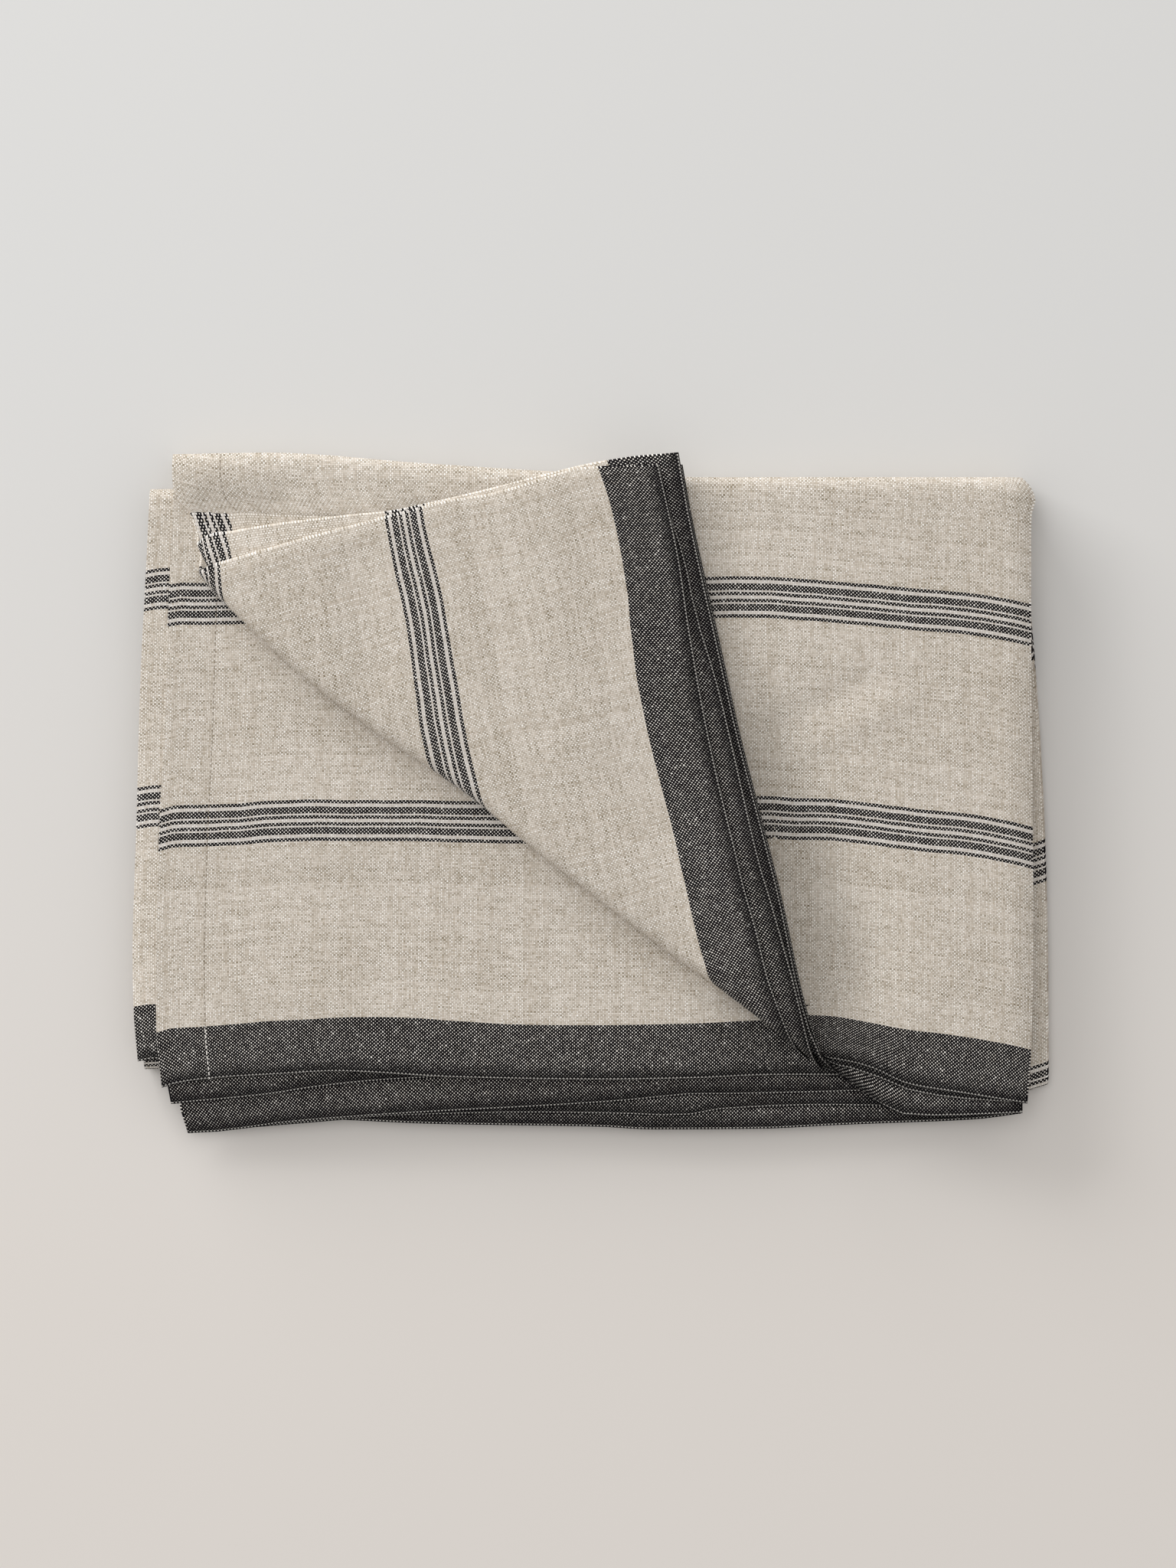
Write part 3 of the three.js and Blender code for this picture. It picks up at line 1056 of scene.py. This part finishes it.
def yarn_colors(n, place, warp, weft, crossing_tone, dark, white):
    """Colours of the warp and the weft. Each yarn has its own tone, which drifts along it."""
    u, v, _ = n.split(place)
    warp_tone = n.random(n.vector(warp, WARP_SEED))
    weft_tone = n.random(n.vector(weft, 0.0, WEFT_SEED))
    warp_along = n.vector(n.times(u, DRIFT["warp"]), n.times(warp, DRIFT["yarn"]))
    weft_along = n.vector(n.times(weft, DRIFT["yarn"]), n.times(v, DRIFT["weft"]), DRIFT_SEED)
    warp_drift = n.noise(warp_along, 1.0, DRIFT["detail"], DRIFT["roughness"])
    weft_drift = n.noise(weft_along, 1.0, DRIFT["detail"], DRIFT["roughness"])
    patches = n.noise(place, PATCH_SCALE)
    crossing = n.minus(crossing_tone, 0.5)

    shares = WARP_SHARES
    browner = n.line(warp_drift, shares["drift"], shares["start"])
    browner = n.line(warp_tone, shares["tone"], browner, clamp=True)
    browner = n.line(n.minus(patches, 0.5), shares["patches"], browner, clamp=True)
    browner = n.line(crossing, shares["crossing"], browner, clamp=True)
    shares = WEFT_SHARES
    darker = n.line(weft_drift, shares["drift"], shares["start"])
    darker = n.line(weft_tone, shares["tone"], darker, clamp=True)
    darker = n.line(crossing, shares["crossing"], darker, clamp=True)

    warp_color = n.mix(white, n.mix(browner, WARP_LIGHT, WARP_BROWN), WHITE_STRIPE)
    worn = n.times(n.add(warp_tone, crossing_tone), 0.5)
    warp_color = n.mix(dark, warp_color, n.mix(worn, DARK_YARN, DARK_WORN))
    weft_color = n.mix(darker, WEFT_LIGHT, WEFT_DARK)
    weft_color = n.mix(n.times(dark, DARK_OVAL["white"]), weft_color, WHITE_YARN)
    return warp_color, weft_color


def weft_oval(n, warp, weft, warp_part, weft_part, crossing_tone, dark, band):
    """1 within the small oval that the weft shows where it passes over the warp."""
    random = n.random(n.vector(warp, weft, OVAL_SEED))
    clump_place = n.vector(
        n.times(warp, DARK_OVAL["clump_scale"]), n.times(weft, DARK_OVAL["clump_scale"]))
    clump = n.noise(clump_place, 1.0, DARK_OVAL["clump_detail"])
    shrink = n.line(clump, DARK_OVAL["clump"], DARK_OVAL["start"])
    shrink = n.line(random, DARK_OVAL["random"], shrink)
    shrink = n.line(band, DARK_OVAL["band"], shrink)
    slub = n.math("GREATER_THAN", crossing_tone, SLUB["from"])
    size = n.line(dark, shrink, n.line(slub, SLUB["growth"], 1.0))
    tall = n.divided(weft_part, n.times(size, OVAL_TALL))
    wide = n.divided(warp_part, n.times(size, OVAL_WIDE))
    return n.math("LESS_THAN", n.add(n.times(tall, tall), n.times(wide, wide)), 1.0)


def edge_details(n, place, weft, band, color):
    """Adds the painted shade and the loops of the free edge, and the stitches of each hem."""
    u, v, _ = n.split(place)
    from_edge = n.math("MINIMUM", v, n.minus(WIDTH * METRES, v))
    from_hem = n.math("MINIMUM", u, n.minus(LENGTH * METRES, u))
    # Painted shade: the colour darkens towards the free edge
    inward = n.minus(from_edge, PAINTED_EDGE_SHADE["from"])
    inward = n.math("DIVIDE", inward, PAINTED_EDGE_SHADE["run"], clamp=True)
    color = n.mix(n.times(n.minus(1.0, inward), PAINTED_EDGE_SHADE["share"]), color, DARK_PAINTED_SHADE)
    loops = n.math("COMPARE", from_edge, LOOPS["from_edge"], LOOPS["half_width"])
    loops = n.times(loops, n.math("FLOORED_MODULO", weft, 2.0))
    color = n.mix(n.times(loops, LOOPS["share"]), color, WHITE_YARN)
    stitch_line = n.math("COMPARE", from_hem, HEM * METRES, STITCHES["half_width"])
    along_line = n.math("FRACT", n.divided(v, STITCHES["pitch"]))
    stitches = n.times(stitch_line, n.math("LESS_THAN", along_line, STITCHES["on"]))
    return n.mix(n.times(stitches, STITCHES["share"]), color, n.mix(band, STITCH, WHITE_YARN))


def linen_material():
    """A plain weave, thread by thread, from the places on the flat cloth."""
    n = Nodes("linen_weave")
    place = n.new("ShaderNodeUVMap", uv_map="Cloth").outputs[0]
    u, v, _ = n.split(place)
    waver = n.minus(n.noise(place, WAVER["scale"], WAVER["detail"]), 0.5)
    weft_count = n.divided(n.line(waver, WAVER["along"], u), WEFT_PITCH * METRES)
    warp_count = n.divided(n.line(waver, WAVER["across"], v), WARP_PITCH * METRES)
    weft = n.math("FLOOR", weft_count)
    warp = n.math("FLOOR", warp_count)
    weft_part = n.minus(n.math("FRACT", weft_count), 0.5)
    warp_part = n.minus(n.math("FRACT", warp_count), 0.5)
    weft_over = n.math("FLOORED_MODULO", n.add(weft, warp), 2.0)
    crossing_tone = n.random(n.vector(warp, weft, CROSSING_SEED))

    dark, white, band = warp_kinds(n, warp)
    warp_color, weft_color = yarn_colors(n, place, warp, weft, crossing_tone, dark, white)
    oval = weft_oval(n, warp, weft, warp_part, weft_part, crossing_tone, dark, band)
    color = n.mix(n.times(weft_over, oval), warp_color, weft_color)

    # Painted shade: the corners between the threads are dark, and the threads are shaded as round
    corner = n.times(n.math("ABSOLUTE", weft_part), n.math("ABSOLUTE", warp_part))
    side = n.math("POWER", n.math("ABSOLUTE", n.mix(weft_over, warp_part, weft_part)), 2.0)
    gap = n.line(corner, PAINTED_THREAD_SHADE["corner"], n.times(side, PAINTED_THREAD_SHADE["side"]), clamp=True)
    color = n.mix(n.times(gap, PAINTED_THREAD_SHADE["share"]), color, n.mix(dark, PAINTED_GAP_SHADE, DARK_PAINTED_SHADE))
    color = edge_details(n, place, weft, band, color)
    return n.finish(color, CLOTH_ROUGHNESS, CLOTH_SPECULAR)


cloth_mesh.materials.append(linen_material())

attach(cloth, "root")
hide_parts("tablecloth")

# The floor, cooler towards the back and warmer towards the front. From here on in metres.
FLOOR_REACH = 6.0
FLOOR_COOL = rgb(217, 217, 216)
FLOOR_WARM = rgb(221, 216, 211)
FLOOR_CHANGE = {"slope": -1.6, "start": 0.5}
FLOOR_ROUGHNESS = 0.9
FLOOR_SPECULAR = 0.1


def floor_material():
    """Plain paper whose colour changes a little from back to front."""
    n = Nodes("floor_paper")
    place = n.new("ShaderNodeNewGeometry").outputs["Position"]
    warmer = n.line(n.split(place)[1], FLOOR_CHANGE["slope"], FLOOR_CHANGE["start"], clamp=True)
    return n.finish(n.mix(warmer, FLOOR_COOL, FLOOR_WARM), FLOOR_ROUGHNESS, FLOOR_SPECULAR)


floor_corners = [
    (x * FLOOR_REACH, y * FLOOR_REACH, 0) for x, y in ((-1, -1), (1, -1), (1, 1), (-1, 1))
]
floor_mesh = bpy.data.meshes.new("floor")
floor_mesh.from_pydata(floor_corners, [], [(0, 1, 2, 3)])
floor = bpy.data.objects.new("floor", floor_mesh)
bpy.context.scene.collection.objects.link(floor)
floor_mesh.materials.append(floor_material())

# A low soft light from the upper left, a soft light from above and an even light all round
LIGHTS = [
    {"name": "window", "place": (-4.2, 4.4, 1.5), "size": (5.0, 2.2), "power": 412},
    {"name": "overhead", "place": (-0.9, 0.9, 3.9), "size": (2.4, 2.4), "power": 24},
]
ROOM_COLOR = (1.0, 0.982, 0.962, 1.0)
ROOM_STRENGTH = 0.626

for row in LIGHTS:
    light_data = bpy.data.lights.new(row["name"], "AREA")
    light_data.shape = "RECTANGLE"
    light_data.size, light_data.size_y = row["size"]
    light_data.energy = row["power"]
    light = bpy.data.objects.new(row["name"], light_data)
    light.location = row["place"]
    bpy.context.scene.collection.objects.link(light)
    light.rotation_euler = (-light.location).to_track_quat("-Z", "Y").to_euler()

world = bpy.data.worlds.new("room")
world.use_nodes = True
background = world.node_tree.nodes["Background"]
background.inputs["Color"].default_value = ROOM_COLOR
background.inputs["Strength"].default_value = ROOM_STRENGTH
bpy.context.scene.world = world

# Colours come out as they are set
bpy.context.scene.view_settings.view_transform = "Standard"

# The camera looks straight down at the middle of the picture
SENSOR_HEIGHT = 36.0
camera_data = bpy.data.cameras.new("camera")
camera_data.sensor_fit = "VERTICAL"
camera_data.sensor_height = SENSOR_HEIGHT
camera_data.lens = SENSOR_HEIGHT * (CAMERA_HEIGHT - PLANE_HEIGHT) / (PICTURE[1] * PIXEL)
camera = bpy.data.objects.new("camera", camera_data)
camera.location = (
    ((PICTURE[0] / 2 - OBJECT_PIXEL[0]) * PIXEL - MIDDLE_X) * METRES,
    ((OBJECT_PIXEL[1] - PICTURE[1] / 2) * PIXEL - MIDDLE_Y) * METRES,
    CAMERA_HEIGHT * METRES,
)
bpy.context.scene.collection.objects.link(camera)
bpy.context.scene.camera = camera
